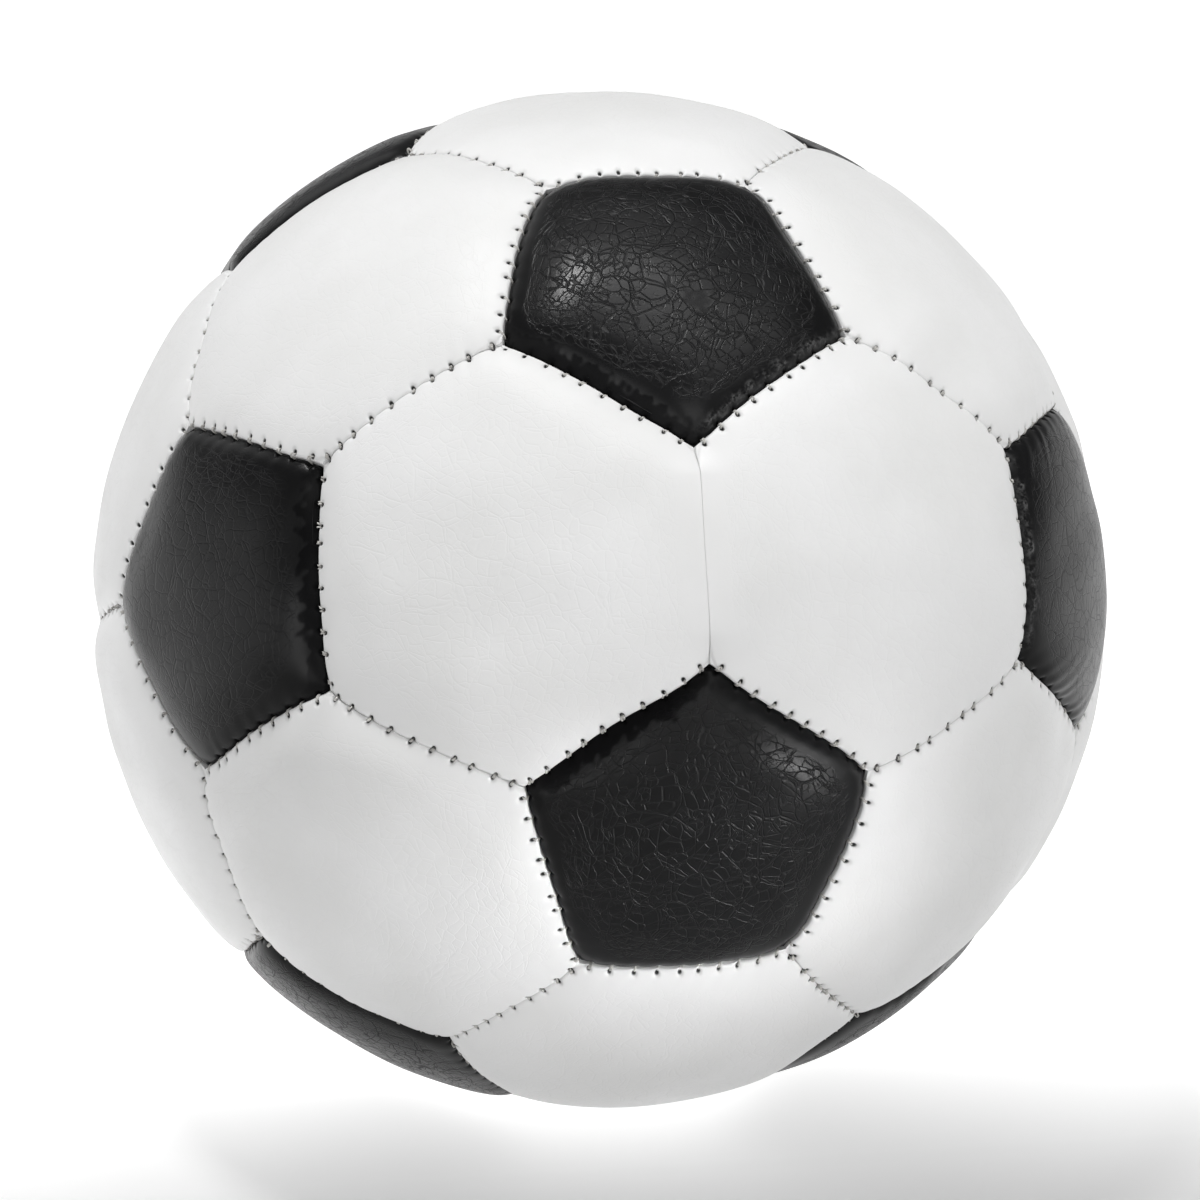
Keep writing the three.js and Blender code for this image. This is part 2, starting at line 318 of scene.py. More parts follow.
class Panel:
    """One leather panel: its corners, its seams and the shape of its face."""

    def __init__(self, centre, corners, colour, seams):
        self.centre = centre
        self.colour = colour
        self.creasing = 1.0
        self.corners = sorted_around(centre, corners)
        following = np.roll(self.corners, -1, axis=0)
        pairs = list(zip(self.corners, following))
        self.sides = [next(seam for seam in seams if seam.joins(a, b)) for a, b in pairs]
        self.signs = [1 if side.across @ centre > 0 else -1 for side in self.sides]
        self.flat_centre = centre * (centre @ self.corners[0])
        self.side_angle = math.acos(centre @ self.sides[0].middle)

    def fraction_at(self, distance):
        """How far from the centre towards a side a line lies that is this far in from the seam."""
        return math.tan(self.side_angle - distance / BALL_RADIUS) / math.tan(self.side_angle)

    def column_places(self, side, start):
        """Shares of the way along a side for its columns, which crowd together at the stitches."""
        cell, within = np.divmod(np.arange(ROWS) * STITCHES / ROWS, 1)
        crowded = within + STITCH_CROWDING * np.sin(2 * math.pi * within) / (2 * math.pi)
        middles = (side.stitches[1:] + side.stitches[:-1]) / 2
        edges = np.concatenate(([-side.half], middles, [side.half]))
        if start @ side.along > 0:
            edges = -edges[::-1]
        along = edges[cell.astype(int)] + crowded * np.diff(edges)[cell.astype(int)]
        return 0.5 + np.tan(along / BALL_RADIUS) / (2 * math.tan(side.half / BALL_RADIUS))

    def directions(self):
        """The face's grid: its centre, then rings of points, one more to a side on each ring."""
        rows = [self.centre[None]]
        crowded_columns = [self.column_places(s, c) for s, c in zip(self.sides, self.corners)]
        following = np.roll(self.corners, -1, axis=0)
        for row in range(1, ROWS + 1):
            share = row / ROWS
            crowding = math.expm1(EDGE_CROWDING * (1 - share)) / math.expm1(EDGE_CROWDING)
            inset = EDGE_GAP + crowding * (BALL_RADIUS * self.side_angle - EDGE_GAP)
            fraction = self.fraction_at(inset)
            crowding = smooth_step(0.6, 0.95, share)
            even = np.arange(row) / row
            ring = []
            for start, end, columns in zip(self.corners, following, crowded_columns):
                crowded = np.interp(even, np.arange(ROWS + 1) / ROWS, np.append(columns, 1))
                places = even + crowding * (crowded - even)
                on_seam = start + places[:, None] * (end - start)
                ring.append(self.flat_centre + fraction * (on_seam - self.flat_centre))
            rows.append(np.concatenate(ring))
        return unit(np.concatenate(rows))

    def shape(self, directions):
        """Where the leather's face lies in these directions, and its marks there."""
        places = [side.place(directions) for side in self.sides]
        insets = np.array([sign * away for sign, (_, away) in zip(self.signs, places)])
        nearness = np.exp(-insets / CORNER_ROUNDING)
        inset = np.maximum(-CORNER_ROUNDING * np.log(nearness.sum(0)), 0)
        softly_near = np.exp(-insets / KNEE_ROUNDING)
        softened = -KNEE_ROUNDING * np.log(softly_near.sum(0))
        weights = softly_near / softly_near.sum(0)
        openness = sum(w * side.openness(along) for w, side, (along, _) in zip(weights, self.sides, places))
        knee = sum(w * side.knee for w, side in zip(weights, self.sides))
        pull_reach = sum(w * side.pull_reach for w, side in zip(weights, self.sides))
        knee += inset - softened + WANDER.at(directions * BALL_RADIUS)

        radius = BALL_RADIUS - border_depth(self.colour, inset, knee, openness, pull_reach)
        radius -= UNEVENNESS + UNEVEN.at(directions * BALL_RADIUS)
        shift = np.zeros_like(directions)
        needle_hole_shade = np.zeros_like(inset)
        scuff = np.zeros_like(inset)
        for side, sign, depth, (along, _) in zip(self.sides, self.signs, insets, places):
            if side.is_blind:
                continue
            phase = side.phase(along - sign * side.slant * depth)
            wave = -0.5 * np.cos(2 * math.pi * phase)
            cells = np.arange(STITCHES + 1) - 0.5
            reach = PUCKER_REACH * np.interp(phase, cells, side.reaches)
            height = PUCKER_HEIGHT[self.colour] * np.interp(phase, cells, side.heights)
            fade = np.exp(-np.abs(depth / reach) ** 1.5) * smooth_step(0, SEAM_END, side.half - np.abs(along))
            radius += height * wave * fade
            scallop = -SCALLOP * side.tension * wave * np.exp(-depth / SCALLOP_REACH) * fade
            shift += scallop[:, None] * side.across
            if side.ridge and self.colour == "black":
                ends = smooth_step(0, 2 * SEAM_END, side.half - np.abs(along))
                rise = np.exp(-((depth - RIDGE_DISTANCE) / RIDGE_WIDTH) ** 2) * ends
                rise *= np.clip(0.6 + ROUGH.at(directions * BALL_RADIUS), 0, 1.5)
                radius += side.ridge * rise
                scuff += rise
            # Each needle hole is sunk into the leather, and its footprint is also kept as a mask of painted
            # shade for the hole.
            near = np.flatnonzero(depth < HOLE_ZONE)
            distance = side.hole_distance(self.colour)
            away = depth[near, None] - distance
            beside = along[near, None] - side.stitches - sign * STITCH_SLANT * distance
            hole = np.exp(-((away / HOLE_LENGTH) ** 2 + (beside / HOLE_WIDTH) ** 2) / 2).sum(1)
            needle_hole_shade[near] += hole
            radius[near] -= HOLE_DEPTH * hole
        # Painted shade: along a tight seam, a band where the leather's shine is turned down, as the deep seam
        # shades it.
        band = inset / pull_reach + 0.5 * ROUGH.at(directions * BALL_RADIUS)
        tightness = np.clip((openness - 1) / (TIGHT_DEPTH - 1), 0, 1)
        marks = {
            "crown": self.creasing * smooth_step(*CREASE_START, inset - knee),
            "stretch": STRETCH * np.exp(-inset / STRETCH_REACH),
            "needle_hole_shade": np.clip(needle_hole_shade, 0, 1),
            "scuff": scuff,
            "sunken_shade": tightness * smooth_step(1.5, 1.05, band),
        }
        return directions * radius[:, None] + shift, marks


class Stray:
    """How the sewn seams stray from the pattern: a small drift that all the pieces share."""

    def __init__(self, panels):
        random = np.random.default_rng([SHAPE_SEED, 0])
        black = [panel for panel in panels if panel.colour == "black"]
        self.corners = np.concatenate([panel.corners for panel in black]) * BALL_RADIUS
        inward = np.concatenate([panel.centre - panel.corners for panel in black])
        strays = random.uniform(*CORNER_STRAY, len(inward))
        for corner, stray in {**BLUNT_CORNERS, **DRAWN_CORNERS}.items():
            strays[corner] = stray
        self.pulls = unit(inward) * strays[:, None]
        self.wander = [Ripple(SEAM_WANDER, 25 * MM, 60 * MM, [SHAPE_SEED, 1, axis]) for axis in range(3)]

    def moved(self, points):
        """Points moved along the ball's surface."""
        outward = unit(points)
        drift = np.stack([ripple.at(points) for ripple in self.wander], -1)
        for corner, pull in zip(self.corners, self.pulls):
            near = np.flatnonzero(points @ corner > BALL_RADIUS * (BALL_RADIUS - 8 * MM))
            apart = ((points[near] - corner) ** 2).sum(-1)
            drift[near] += np.exp(-apart / (2 * CORNER_REACH**2))[:, None] * pull
        drift -= (drift * outward).sum(-1, keepdims=True) * outward
        return points + drift


UNEVEN = Ripple(UNEVENNESS / 2, 14 * MM, 34 * MM, [SHAPE_SEED, 2])
ROUGH = Ripple(0.5, 1.2 * MM, 9 * MM, [SHAPE_SEED, 5], waves=20)
WANDER = Ripple(KNEE_WANDER, 14 * MM, 40 * MM, [SHAPE_SEED, 6])


def lay_out_cover():
    """All seams and panels, in the order of the CAD model's nodes."""
    centres = pentagon_centres()

    def touch(p, q):
        return 0.4 < p @ q < 0.9

    def corner(p, q):
        return unit(2 * p + q)

    seams = []
    hexagons = []
    pentagons = []
    for i, p in enumerate(centres):
        around = sorted_around(p, [corner(p, q) for q in centres if touch(p, q)])
        pentagons.append((p, around))
        for first, last in zip(around, np.roll(around, -1, axis=0)):
            seams.append(Seam(first, last, p, ("black", "white"), len(seams)))
        for j, q in enumerate(centres[i + 1:], i + 1):
            if not touch(p, q):
                continue
            for s in centres[j + 1:]:
                if touch(p, s) and touch(q, s):
                    pairs = ((p, q), (q, p), (q, s), (s, q), (s, p), (p, s))
                    hexagons.append((unit(p + q + s), [corner(*pair) for pair in pairs]))
            inside = np.cross(p, q)
            seams.append(Seam(corner(p, q), corner(q, p), inside, ("white", "white"), len(seams)))

    front = unit(centres[0] + centres[6])
    for seam in seams:
        seam.is_blind = bool(np.allclose(seam.middle, front))
    panels = [Panel(centre, corners, "black", seams) for centre, corners in pentagons]
    for number in SMOOTH_PANELS:
        panels[number].creasing = SMOOTH_CREASING
    panels += [Panel(centre, corners, "white", seams) for centre, corners in hexagons]
    return seams, panels


# ---- Meshes ----

def face_triangles(sides):
    """Triangles of a panel's grid with this many sides."""
    triangles = []
    for row in range(1, ROWS + 1):
        inner = 1 + sides * (row - 1) * (row - 2) // 2 if row > 1 else 0
        outer = 1 + sides * row * (row - 1) // 2
        inner_count = max(1, sides * (row - 1))
        outer_count = sides * row
        for side in range(sides):
            column = np.arange(row)
            low = inner + (side * (row - 1) + column) % inner_count
            high = outer + (side * row + column) % outer_count
            next_high = outer + (side * row + column + 1) % outer_count
            triangles.append(np.stack((low, high, next_high), 1))
            if row > 1:
                column = np.arange(row - 1)
                low = inner + (side * (row - 1) + column) % inner_count
                next_low = inner + (side * (row - 1) + column + 1) % inner_count
                next_high = outer + (side * row + column + 1) % outer_count
                triangles.append(np.stack((low, next_high, next_low), 1))
    return np.concatenate(triangles)


def band_triangles(first, second):
    """Triangles between two rings of vertex numbers, from the inner ring to the outer."""
    next_first, next_second = np.roll(first, -1), np.roll(second, -1)
    one = np.stack((first, second, next_second), 1)
    other = np.stack((first, next_second, next_first), 1)
    return np.concatenate((one, other))


def new_mesh(name, points, triangles, material, smooth=None):
    """A mesh whose first triangles, up to this number, are shaded smooth, or all of them."""
    mesh = bpy.data.meshes.new(name)
    mesh.vertices.add(len(points))
    mesh.vertices.foreach_set("co", np.asarray(points, np.float32).ravel())
    mesh.loops.add(3 * len(triangles))
    mesh.loops.foreach_set("vertex_index", np.asarray(triangles, np.int32).ravel())
    mesh.polygons.add(len(triangles))
    mesh.polygons.foreach_set("loop_start", np.arange(0, 3 * len(triangles), 3, dtype=np.int32))
    mesh.polygons.foreach_set("use_smooth", np.arange(len(triangles)) < (smooth or len(triangles)))
    mesh.update(calc_edges=True)
    mesh.validate()
    mesh.materials.append(material)
    piece = bpy.data.objects.new(name, mesh)
    bpy.context.scene.collection.objects.link(piece)
    return piece


def add_attribute(piece, name, values):
    attribute = piece.data.attributes.new(name, "FLOAT", "POINT")
    full = np.zeros(len(piece.data.vertices), np.float32)
    full[:len(values)] = values
    attribute.data.foreach_set("value", full)


def panel_mesh(name, panel, stray, triangles, material):
    """A closed body: the face, the seam allowance turned in behind its edge, and the back."""
    directions = panel.directions()
    face, marks = panel.shape(directions)
    edge_count = len(panel.corners) * ROWS
    edge = np.arange(len(face) - edge_count, len(face))
    flat = directions[edge] * (panel.flat_centre @ panel.centre) / (directions[edge] @ panel.centre)[:, None]
    turned_in = panel.flat_centre + panel.fraction_at(ALLOWANCE_THICKNESS) * (flat - panel.flat_centre)
    halfway = panel.flat_centre + 0.5 * (flat - panel.flat_centre)
    back_radius = BALL_RADIUS - BACK_DEPTH
    rings = [
        directions[edge] * (BALL_RADIUS - ALLOWANCE_DEPTH),
        unit(turned_in) * (BALL_RADIUS - ALLOWANCE_DEPTH),
        unit(turned_in) * back_radius,
        unit(halfway) * back_radius,
    ]
    points = stray.moved(np.concatenate([face, *rings, [panel.centre * back_radius]]))
    faces = [triangles]
    ring = edge
    for _ in rings:
        faces.append(band_triangles(ring, ring + edge_count))
        ring = ring + edge_count
    centre = np.full(edge_count, len(points) - 1)
    faces.append(np.stack((np.roll(ring, -1), ring, centre), 1))
    piece = new_mesh(name, points, np.concatenate(faces), material, smooth=len(triangles))
    for mark, values in marks.items():
        add_attribute(piece, mark, values)
    return piece


def stitch_paths(seam, random):
    """The strands of one seam's stitches, each a run of points across the groove."""
    share = np.linspace(-1, 1, 9)
    if seam.is_blind:
        return []
    paths = []
    far, near = (seam.hole_distance(colour) for colour in (seam.colours[1], seam.colours[0]))
    reach = np.where(share < 0, far, near)
    first, second = (
        border_depth(colour, distance, seam.knee, seam.depth, seam.pull_reach)
        for colour, distance in zip(seam.colours, (near, far))
    )
    middle = (first + second) / 2 + (first - second) / 2 * share
    for place in seam.stitches:
        for strand in (-0.5, 0.5):
            splay = (strand + random.uniform(-0.4, 0.4)) * 2.0 * THREAD_RADIUS
            splay *= 1 + 3 * max(seam.slack, 0) / MM * random.uniform(0, 1)
            lean = STITCH_SLANT + random.uniform(-0.25, 0.25)
            away = share * reach * random.uniform(0.75, 1.05)
            along = place + lean * away + splay * (1 - 0.5 * np.abs(share))
            dive = 1.3 * HOLE_DEPTH * smooth_step(0.6, 1, np.abs(share))
            lift = seam.slack * random.uniform(0.3, 1.2) * (1 - share**2)
            depth = UNEVENNESS + middle + dive - lift
            paths.append(seam.direction(along, away) * (BALL_RADIUS - depth)[:, None])
    return paths


def tube_mesh(name, paths, radius, sides, material):
    """Closed tubes along runs of points, all in one piece."""
    points, triangles = [], []
    turns = np.arange(sides) * 2 * math.pi / sides
    first = 0
    for path in paths:
        heading = unit(np.gradient(path, axis=0))
        outward = unit(path)
        side = unit(np.cross(heading, outward))
        up = np.cross(side, heading)
        around = np.cos(turns)[:, None] * side[:, None] + np.sin(turns)[:, None] * up[:, None]
        rings = path[:, None] + radius * around
        points += [rings.reshape(-1, 3), path[:1], path[-1:]]
        numbers = first + np.arange(len(path) * sides).reshape(len(path), sides)
        for low, high in zip(numbers, numbers[1:]):
            triangles.append(band_triangles(low, high))
        start, end = first + len(path) * sides, first + len(path) * sides + 1
        triangles.append(np.stack((np.full(sides, start), np.roll(numbers[0], -1), numbers[0]), 1)[:, ::-1])
        triangles.append(np.stack((np.full(sides, end), numbers[-1], np.roll(numbers[-1], -1)), 1)[:, ::-1])
        first = end + 1
    return new_mesh(name, np.concatenate(points), np.concatenate(triangles), material)


# ---- Materials ----

class Nodes:
    """A material under construction."""

    def __init__(self, name):
        self.material = bpy.data.materials.new(name)
        self.material.use_nodes = True
        self.tree = self.material.node_tree
        self.shader = self.tree.nodes["Principled BSDF"]

    def add(self, kind, inputs=None, output=0, **settings):
        """Adds a node, sets or links its inputs, and returns one of its outputs."""
        node = self.tree.nodes.new("ShaderNode" + kind)
        for name, value in settings.items():
            setattr(node, name, value)
        for key, value in (inputs or {}).items():
            self.feed(node.inputs[key], value)
        return node.outputs[output]

    def feed(self, socket, value):
        if isinstance(value, bpy.types.NodeSocket):
            self.tree.links.new(value, socket)
        else:
            socket.default_value = value

    def maths(self, operation, first, second=0.0, third=0.0):
        return self.add("Math", {0: first, 1: second, 2: third}, operation=operation)

    def steps(self, value, low, high, start=0.0, end=1.0):
        """Goes smoothly from start to end as value goes from low to high."""
        inputs = {"Value": value, "From Min": low, "From Max": high, "To Min": start, "To Max": end}
        return self.add("MapRange", inputs, interpolation_type="SMOOTHSTEP")

    def mix(self, share, first, second):
        node = self.tree.nodes.new("ShaderNodeMix")
        node.data_type = "RGBA"
        self.feed(node.inputs[0], share)
        self.feed(node.inputs[6], first)
        self.feed(node.inputs[7], second)
        return node.outputs[2]


def leather(name, colour, dusty, marks, roughness, gloss, crease_depth, seed):
    """Padded synthetic leather: a network of creases on the crown, and smooth where it is pulled tight.

    The marks are the colours of the needle holes, painted dark as shade in the holes, and of the scuffs.
    """
    nodes = Nodes(name)
    crown, stretch, hole, scuff, sunken_shade = (
        nodes.add("Attribute", output="Fac", attribute_name=mark)
        for mark in ("crown", "stretch", "needle_hole_shade", "scuff", "sunken_shade")
    )
    place = nodes.add("TexCoord", output="Object")
    spot = nodes.add("VectorMath", {0: place, 1: (seed, seed, seed)}, operation="ADD")
    grown = nodes.maths("MULTIPLY_ADD", stretch, 1 / BALL_RADIUS, 1.0)
    stretched = nodes.add("VectorMath", {0: place, "Scale": grown}, operation="SCALE")

    def bent(vector, size, reach):
        """The place moved about at random, by up to half the reach, in waves of this size."""
        drift = nodes.add("TexNoise", {"Vector": vector, "Scale": 1 / size, "Detail": 1.0}, output="Color")
        centred = nodes.add("VectorMath", {0: drift, 1: (0.5, 0.5, 0.5)}, operation="SUBTRACT")
        inputs = {0: centred, 1: (reach, reach, reach), 2: vector}
        return nodes.add("VectorMath", inputs, operation="MULTIPLY_ADD")

    def creases(vector, size, width, share):
        """1 along the borders of random cells, down to 0 at this width, over a share of the surface."""
        inputs = {"Vector": vector, "Scale": 1 / size}
        border = nodes.add("TexVoronoi", inputs, output="Distance", feature="DISTANCE_TO_EDGE")
        line = nodes.steps(border, 0.0, width / size, 1.0, 0.0)
        patches = nodes.add("TexNoise", {"Vector": vector, "Scale": 0.4 / size, "Detail": 1.0})
        middle = 0.5 + 0.4 * (0.5 - share)
        return nodes.maths("MULTIPLY", line, nodes.steps(patches, middle - 0.08, middle + 0.08))

    wavy = bent(bent(stretched, 13 * MM, 6 * MM), 3 * MM, 0.6 * MM)
    deepest = 0.0
    for size, width, share, depth in CREASE_LAYERS:
        layer = nodes.maths("MULTIPLY", creases(wavy, size, width, share), depth)
        deepest = nodes.maths("MAXIMUM", deepest, layer)
    network = nodes.maths("MULTIPLY", deepest, crown)

    grain = nodes.add("TexNoise", {"Vector": spot, "Scale": 1600.0, "Detail": 2.0})
    fine = nodes.maths("MULTIPLY", grain, nodes.maths("MULTIPLY_ADD", scuff, 0.05 * MM, 0.012 * MM))
    height = nodes.maths("MULTIPLY_ADD", network, -crease_depth, fine)
    bump = nodes.add("Bump", {"Height": height, "Distance": 1.0, "Strength": 1.0})

    cloudy = nodes.add("TexNoise", {"Vector": spot, "Scale": 32.0, "Detail": 3.0})
    varied = nodes.mix(nodes.steps(cloudy, 0.3, 0.7), colour, dusty)
    worn_through = nodes.maths("MULTIPLY", scuff, nodes.steps(grain, 0.42, 0.62))
    scuffed = nodes.mix(worn_through, varied, marks["scuff"])
    # The needle holes are painted dark: painted shade in the holes, over their real pits.
    hole_shaded = nodes.mix(nodes.steps(hole, 0.25, 0.65), scuffed, marks["hole"])
    worn = nodes.maths("MULTIPLY_ADD", nodes.maths("SUBTRACT", cloudy, 0.5), 0.2, roughness)
    nodes.feed(nodes.shader.inputs["Base Color"], hole_shaded)
    nodes.feed(nodes.shader.inputs["Roughness"], nodes.maths("MULTIPLY_ADD", network, 0.25, worn))
    nodes.feed(nodes.shader.inputs["Normal"], bump)
    # Painted shade: the shine is turned down along tight seams, where the deep seam shades the leather.
    shine = nodes.maths("MULTIPLY_ADD", sunken_shade, -0.85 * gloss, gloss)
    nodes.feed(nodes.shader.inputs["Specular IOR Level"], shine)
    return nodes.material


def waxed_thread():
    nodes = Nodes("waxed_thread_fibres")
    place = nodes.add("TexCoord", output="Object")
    fuzz = nodes.add("TexNoise", {"Vector": place, "Scale": 2500.0, "Detail": 2.0})
    soiled = nodes.add("TexNoise", {"Vector": place, "Scale": 90.0, "Detail": 1.0})
    clean = nodes.mix(fuzz, (0.42, 0.41, 0.39, 1), (0.66, 0.65, 0.62, 1))
    colour = nodes.mix(nodes.steps(soiled, 0.45, 0.7, 0.0, 0.45), clean, (0.2, 0.19, 0.18, 1))
    height = nodes.maths("MULTIPLY", fuzz, 0.05 * MM)
    nodes.feed(nodes.shader.inputs["Base Color"], colour)
    nodes.feed(nodes.shader.inputs["Roughness"], nodes.steps(fuzz, 0.2, 0.8, 0.5, 0.75))
    nodes.feed(nodes.shader.inputs["Normal"], nodes.add("Bump", {"Height": height, "Distance": 1.0}))
    return nodes.material


def cloth(name, colour, dark, yarn, depth):
    """Plain woven cloth, with yarns of this width."""
    nodes = Nodes(name)
    place = nodes.add("TexCoord", output="Object")
    fuzz = nodes.add("TexNoise", {"Vector": place, "Scale": 1 / yarn, "Detail": 4.0})
    soiled = nodes.add("TexNoise", {"Vector": place, "Scale": 25.0, "Detail": 2.0})
    yarns = [
        nodes.add("TexWave", {"Vector": place, "Scale": 0.3 / yarn, "Distortion": 0.6}, bands_direction=axis)
        for axis in ("X", "Z")
    ]
    woven = nodes.maths("MULTIPLY", *(nodes.maths("ADD", one, 0.3) for one in yarns))
    height = nodes.maths("MULTIPLY", nodes.maths("ADD", woven, fuzz), depth)
    shade = nodes.maths("MULTIPLY", fuzz, nodes.steps(soiled, 0.3, 0.7, 0.6, 1.2))
    nodes.feed(nodes.shader.inputs["Base Color"], nodes.mix(shade, dark, colour))
    nodes.feed(nodes.shader.inputs["Roughness"], nodes.steps(fuzz, 0.2, 0.8, 0.8, 0.95))
    nodes.feed(nodes.shader.inputs["Normal"], nodes.add("Bump", {"Height": height, "Distance": 1.0}))
    return nodes.material


def loose_matter(name, colour, dark, size, depth):
    """Tangled fibre or sand, with tufts or grains of this size."""
    nodes = Nodes(name)
    place = nodes.add("TexCoord", output="Object")
    tufts = nodes.add("TexNoise", {"Vector": place, "Scale": 1 / size, "Detail": 5.0, "Distortion": 1.5})
    patches = nodes.add("TexNoise", {"Vector": place, "Scale": 30.0, "Detail": 2.0})
    shade = nodes.maths("MULTIPLY", nodes.steps(tufts, 0.3, 0.7), nodes.steps(patches, 0.3, 0.7, 0.6, 1.0))
    height = nodes.maths("MULTIPLY", tufts, depth)
    nodes.feed(nodes.shader.inputs["Base Color"], nodes.mix(shade, dark, colour))
    nodes.feed(nodes.shader.inputs["Roughness"], nodes.steps(tufts, 0.3, 0.7, 0.95, 0.8))
    nodes.feed(nodes.shader.inputs["Normal"], nodes.add("Bump", {"Height": height, "Distance": 1.0}))
    return nodes.material


def floor_material():
    """A pale studio floor that is lit more strongly behind the ball and far from it."""
    nodes = Nodes("pale_floor")
    place = nodes.add("TexCoord", output="Object")
    behind = nodes.add("SeparateXYZ", {0: place}, output="Y")
    nodes.shader.inputs["Base Color"].default_value = (0.5, 0.5, 0.5, 1)
    nodes.shader.inputs["Roughness"].default_value = 0.8
    nodes.shader.inputs["Emission Color"].default_value = (1, 1, 1, 1)
    distance = nodes.add("VectorMath", {0: place}, output="Value", operation="LENGTH")
    near = nodes.steps(behind, *FLOOR_GLOW_REACH)
    far = nodes.steps(distance, *FAR_GLOW_REACH)
    nodes.feed(nodes.shader.inputs["Emission Strength"], nodes.maths("MAXIMUM", near, far))
    return nodes.material


# ---- Stage ----

def from_centre(azimuth, elevation):
    """A direction from the ball's centre, with its angles in degrees and azimuth 0 straight in front."""
    a, e = math.radians(azimuth), math.radians(elevation)
    return Vector((math.sin(a) * math.cos(e), -math.cos(a) * math.cos(e), math.sin(e)))


def add_camera():
    out = from_centre(CAMERA_AZIMUTH, CAMERA_ELEVATION)
    data = bpy.data.cameras.new("camera")
    data.lens = CAMERA_LENS
    data.sensor_width = 36
    data.clip_start = 0.01
    camera = bpy.data.objects.new("camera", data)
    aim = (-out).to_track_quat("-Z", "Y").to_matrix().to_4x4()
    place = Matrix.Translation(CAMERA_DISTANCE * BALL_RADIUS * out)
    camera.matrix_world = place @ aim @ Matrix.Rotation(math.radians(CAMERA_ROLL), 4, "Z")
    bpy.context.scene.collection.objects.link(camera)
    bpy.context.scene.camera = camera


def add_softbox(name, azimuth, elevation, distance, size, power, spread, aim=(0, 0, 0)):
    """A softbox with a grid that narrows its beam to this spread in degrees."""
    data = bpy.data.lights.new(name, "AREA")
    data.spread = math.radians(spread)
    data.shape = "RECTANGLE"
    data.size, data.size_y = size
    data.energy = power
    light = bpy.data.objects.new(name, data)
    place = distance * from_centre(azimuth, elevation)
    turn = (Vector(aim) - place).to_track_quat("-Z", "Y").to_matrix().to_4x4()
    light.matrix_world = Matrix.Translation(place) @ turn
    bpy.context.scene.collection.objects.link(light)


def add_floor():
    count, reach = 96, 8.0
    turns = np.arange(count) * 2 * math.pi / count
    rim = np.stack((reach * np.cos(turns), reach * np.sin(turns), np.zeros(count)), 1)
    points = np.concatenate(([[0, 0, 0]], rim)) + (0, 0, cad_box[0][2] - 0.1 * MM)
    numbers = np.arange(1, count + 1)
    triangles = np.stack((np.zeros(count, int), numbers, np.roll(numbers, -1)), 1)
    floor = new_mesh("floor", points, triangles, floor_material())


def add_world():
    """A dim studio whose walls are pale at the level of the floor."""
    world = bpy.data.worlds.new("studio")
    world.use_nodes = True
    bpy.context.scene.world = world
    nodes, links = world.node_tree.nodes, world.node_tree.links
    place = nodes.new("ShaderNodeTexCoord")
    split = nodes.new("ShaderNodeSeparateXYZ")
    fade = nodes.new("ShaderNodeMapRange")
    fade.interpolation_type = "SMOOTHSTEP"
    for name, value in zip(("From Min", "From Max", "To Min", "To Max"), (*WALL_FADE, *WALL_GLOW)):
        fade.inputs[name].default_value = value
    links.new(place.outputs["Generated"], split.inputs[0])
    links.new(split.outputs["Z"], fade.inputs["Value"])
    links.new(fade.outputs[0], nodes["Background"].inputs["Strength"])
    nodes["Background"].inputs["Color"].default_value = (1, 1, 1, 1)


# ---- The ball ----

def build_cover():
    seams, panels = lay_out_cover()
    black, blacker = (0.0065, 0.0065, 0.007, 1), (0.004, 0.004, 0.0042, 1)
    white, greyer = (0.8, 0.8, 0.8, 1), (0.755, 0.755, 0.75, 1)
    # The hole colours are painted shade in the needle holes.
    on_black = {"hole": (0.002, 0.002, 0.002, 1), "scuff": (0.06, 0.06, 0.06, 1)}
    on_white = {"hole": (0.02, 0.02, 0.02, 1), "scuff": white}
    materials = {
        "black": leather("pebbled_black_leather", black, blacker, on_black, 0.31, 0.21, 0.1 * MM, 0.0),
        "white": leather("padded_white_leather", white, greyer, on_white, 0.42, 0.3, 0.026 * MM, 3.0),
    }
    triangles = {sides: face_triangles(sides) for sides in (5, 6)}
    nodes = [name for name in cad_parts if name.startswith(("black_pentagon", "white_hexagon"))]
    middles = {}
    for name in nodes:
        low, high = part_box(name)
        middles[name] = np.array((low + high) / 2)
    stray = Stray(panels)
    for panel in panels:
        node = min(nodes, key=lambda name: np.linalg.norm(unit(middles[name]) - panel.centre))
        nodes.remove(node)
        grid = triangles[len(panel.corners)]
        piece = panel_mesh(node + "_leather", panel, stray, grid, materials[panel.colour])
        settle(piece, node)
    random = np.random.default_rng([SHAPE_SEED, 4])
    paths = [stray.moved(path) for seam in seams for path in stitch_paths(seam, random)]
    stitches = tube_mesh("seam_stitches", paths, THREAD_RADIUS, 5, waxed_thread())
    settle(stitches, "seam_thread")


# ---- The pieces inside the cover ----

def arc(radius, start, end, steps):
    """Profile points on a circle about the ball's centre. Angles are measured down from the vertical."""
    angles = np.radians(np.linspace(start, end, steps + 1))
    return np.stack((radius * np.sin(angles), radius * np.cos(angles)), 1)


def line(start, end, steps):
    return np.linspace(start, end, steps + 1)


def turned(profile, turns):
    """A grid of points: the profile of radii and heights, turned about the vertical, and its angles."""
    angles = np.arange(turns) * 2 * math.pi / turns
    radius, height = np.concatenate(profile).T[:, :, None]
    level = np.broadcast_to(height, (len(height), turns))
    return np.stack((radius * np.cos(angles), radius * np.sin(angles), level), -1), angles


def sunk(points, amount):
    """The grid's points moved into the body."""
    around = np.roll(points, -1, axis=1) - np.roll(points, 1, axis=1)
    outward = np.cross(around, np.gradient(points, axis=0))
    outward /= np.maximum(np.linalg.norm(outward, axis=-1, keepdims=True), 1e-12)
    return points - outward * amount[..., None]


def dents(depth, shortest, longest, seed, points):
    return depth * np.clip(0.5 + Ripple(0.4, shortest, longest, [SHAPE_SEED, seed]).at(points), 0, 1)


